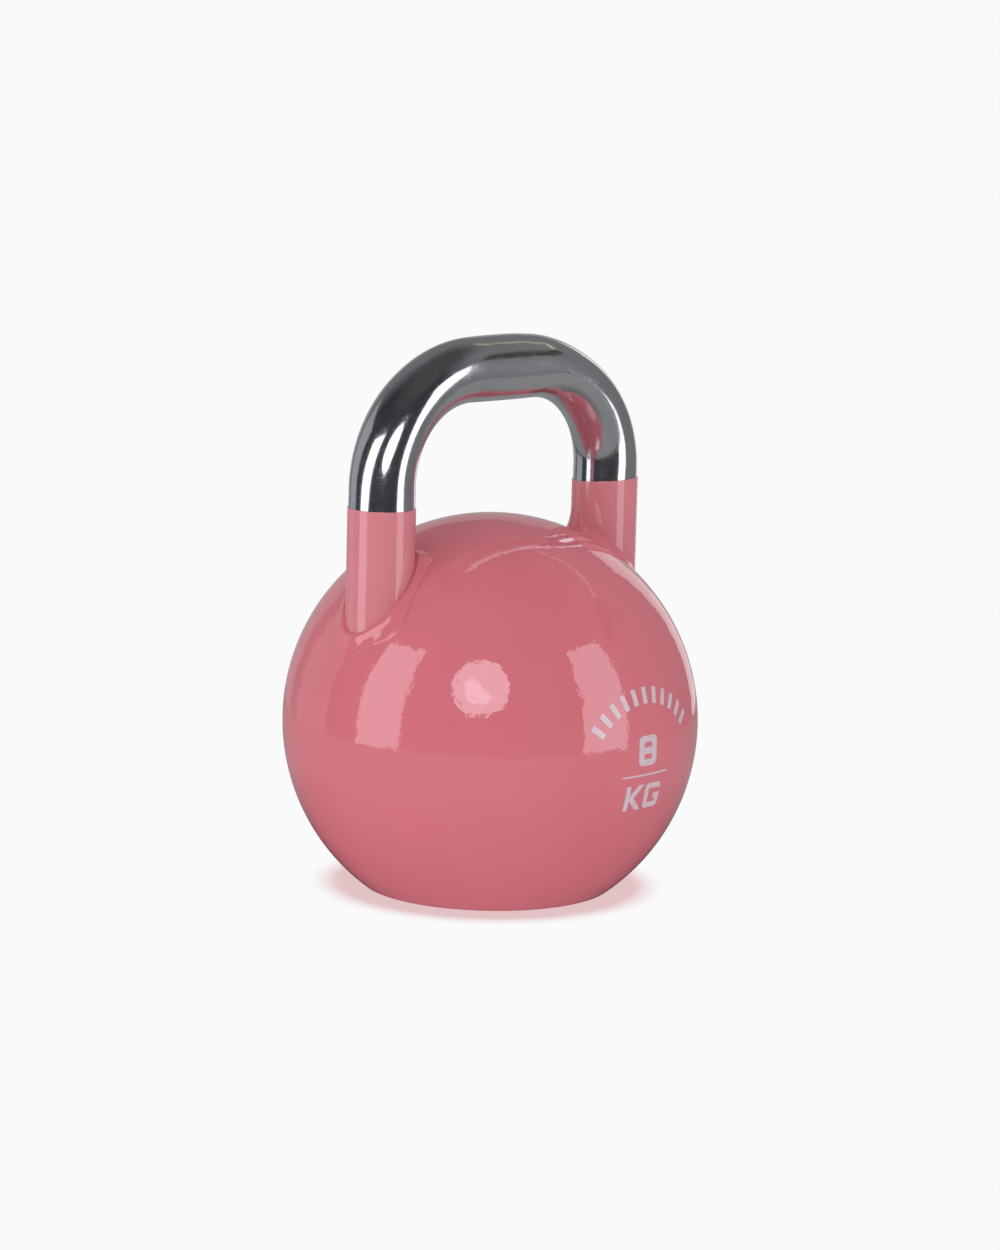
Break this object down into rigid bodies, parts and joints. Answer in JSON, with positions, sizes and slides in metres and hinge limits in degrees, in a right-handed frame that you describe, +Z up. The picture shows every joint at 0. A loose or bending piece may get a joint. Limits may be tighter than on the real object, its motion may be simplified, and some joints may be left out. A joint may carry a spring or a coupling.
{
  "type": "competition kettlebell",
  "caption": "Hollow steel kettlebell of the competition pattern: round ball with a flat base, gloss enamel body and a bent chrome tube handle.",
  "frame": {"origin": "centre of the flat base, on the surface the bell stands on", "axes": "+X along the grip, -Y the printed front, +Z up"},
  "size_m": [0.21, 0.21, 0.28],
  "materials": {
    "enamel": "high-gloss coral-pink baked enamel over steel",
    "leg_enamel": "high-gloss coral-pink baked enamel film",
    "chrome": "polished chrome with faint handling marks",
    "plug_steel": "bright zinc-plated steel",
    "seal": "matt black rubber",
    "ballast": "as-cast grey iron",
    "ink": "satin white pad-printing ink"
  },
  "bodies": {
    "root": {"upper_shell": "enamel", "lower_shell": "enamel", "girth_weld": "enamel", "handle_tube": "chrome", "left_leg_weld": "enamel", "right_leg_weld": "enamel", "left_leg_enamel": "leg_enamel", "right_leg_enamel": "leg_enamel", "base_plate": "enamel", "base_weld": "enamel", "ballast_ring": "ballast", "filler_plug": "plug_steel", "plug_seal": "seal", "weight_numeral": "ink", "divider_line": "ink", "unit_mark": "ink", "arc_marks": "ink"}
  },
  "joints": []
}
